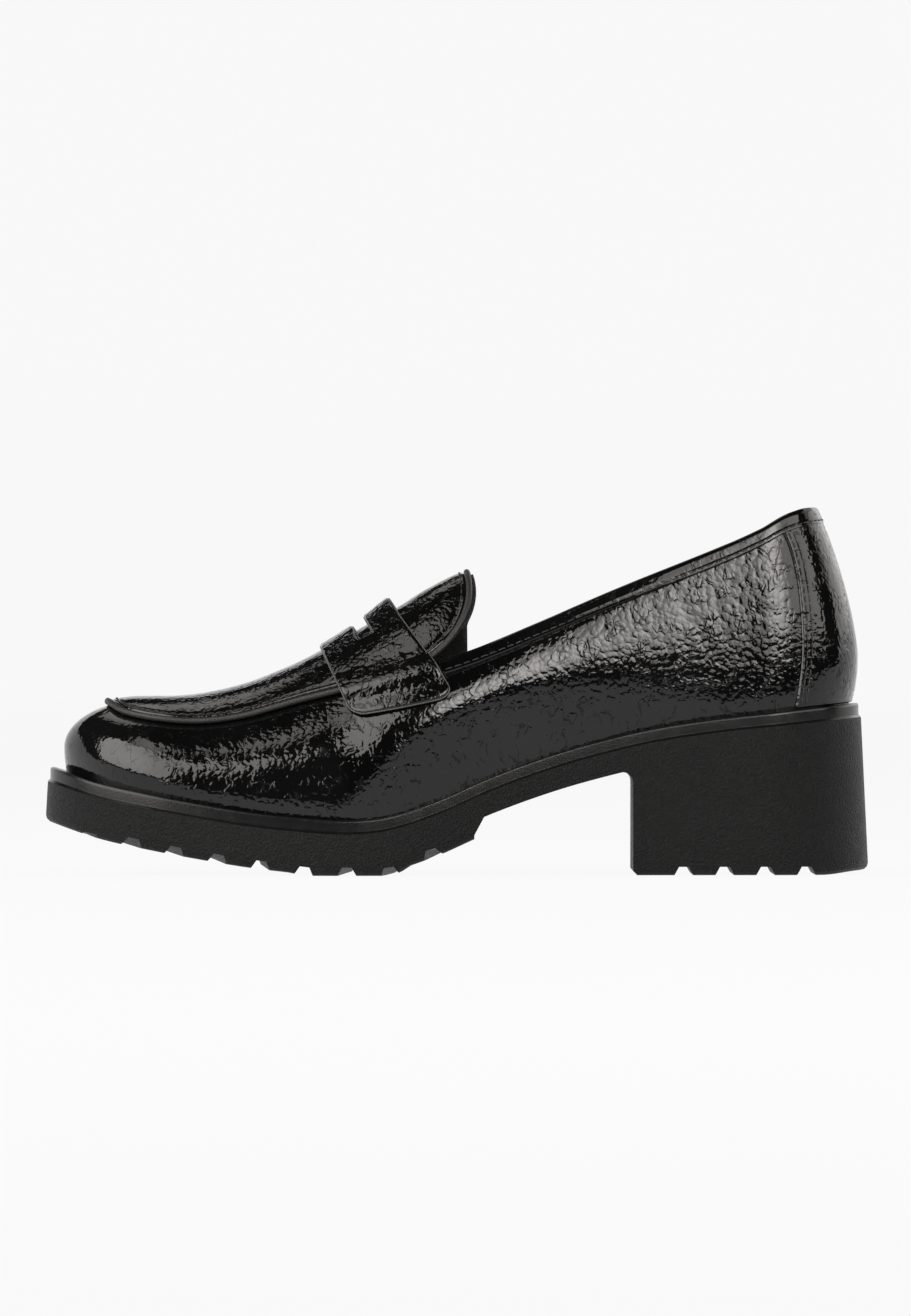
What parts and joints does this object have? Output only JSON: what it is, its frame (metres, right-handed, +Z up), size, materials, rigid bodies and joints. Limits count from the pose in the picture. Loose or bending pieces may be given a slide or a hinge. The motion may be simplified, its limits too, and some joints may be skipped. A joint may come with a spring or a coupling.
{
  "type": "loafer pump",
  "caption": "Women's penny loafer in black patent leather on a moulded lug sole with a block heel, left foot.",
  "frame": {"origin": "on the floor, in the middle of the heel's tread under its middle lug", "axes": "+X along the length of the shoe, from the toe towards the heel; +Y towards the medial side; +Z up"},
  "size_m": [0.2549, 0.0929, 0.1142],
  "materials": {
    "sole_rubber": "matt, fine pebble grain",
    "lining": "matt",
    "patent_leather": "crinkled patent gloss",
    "piping_leather": "matt"
  },
  "bodies": {
    "root": {"outsole": "sole_rubber", "insole": "lining", "upper": "patent_leather", "apron": "patent_leather", "piping": "piping_leather", "saddle_strap": "patent_leather", "collar_band": "patent_leather", "back_stay": "patent_leather"}
  },
  "joints": []
}
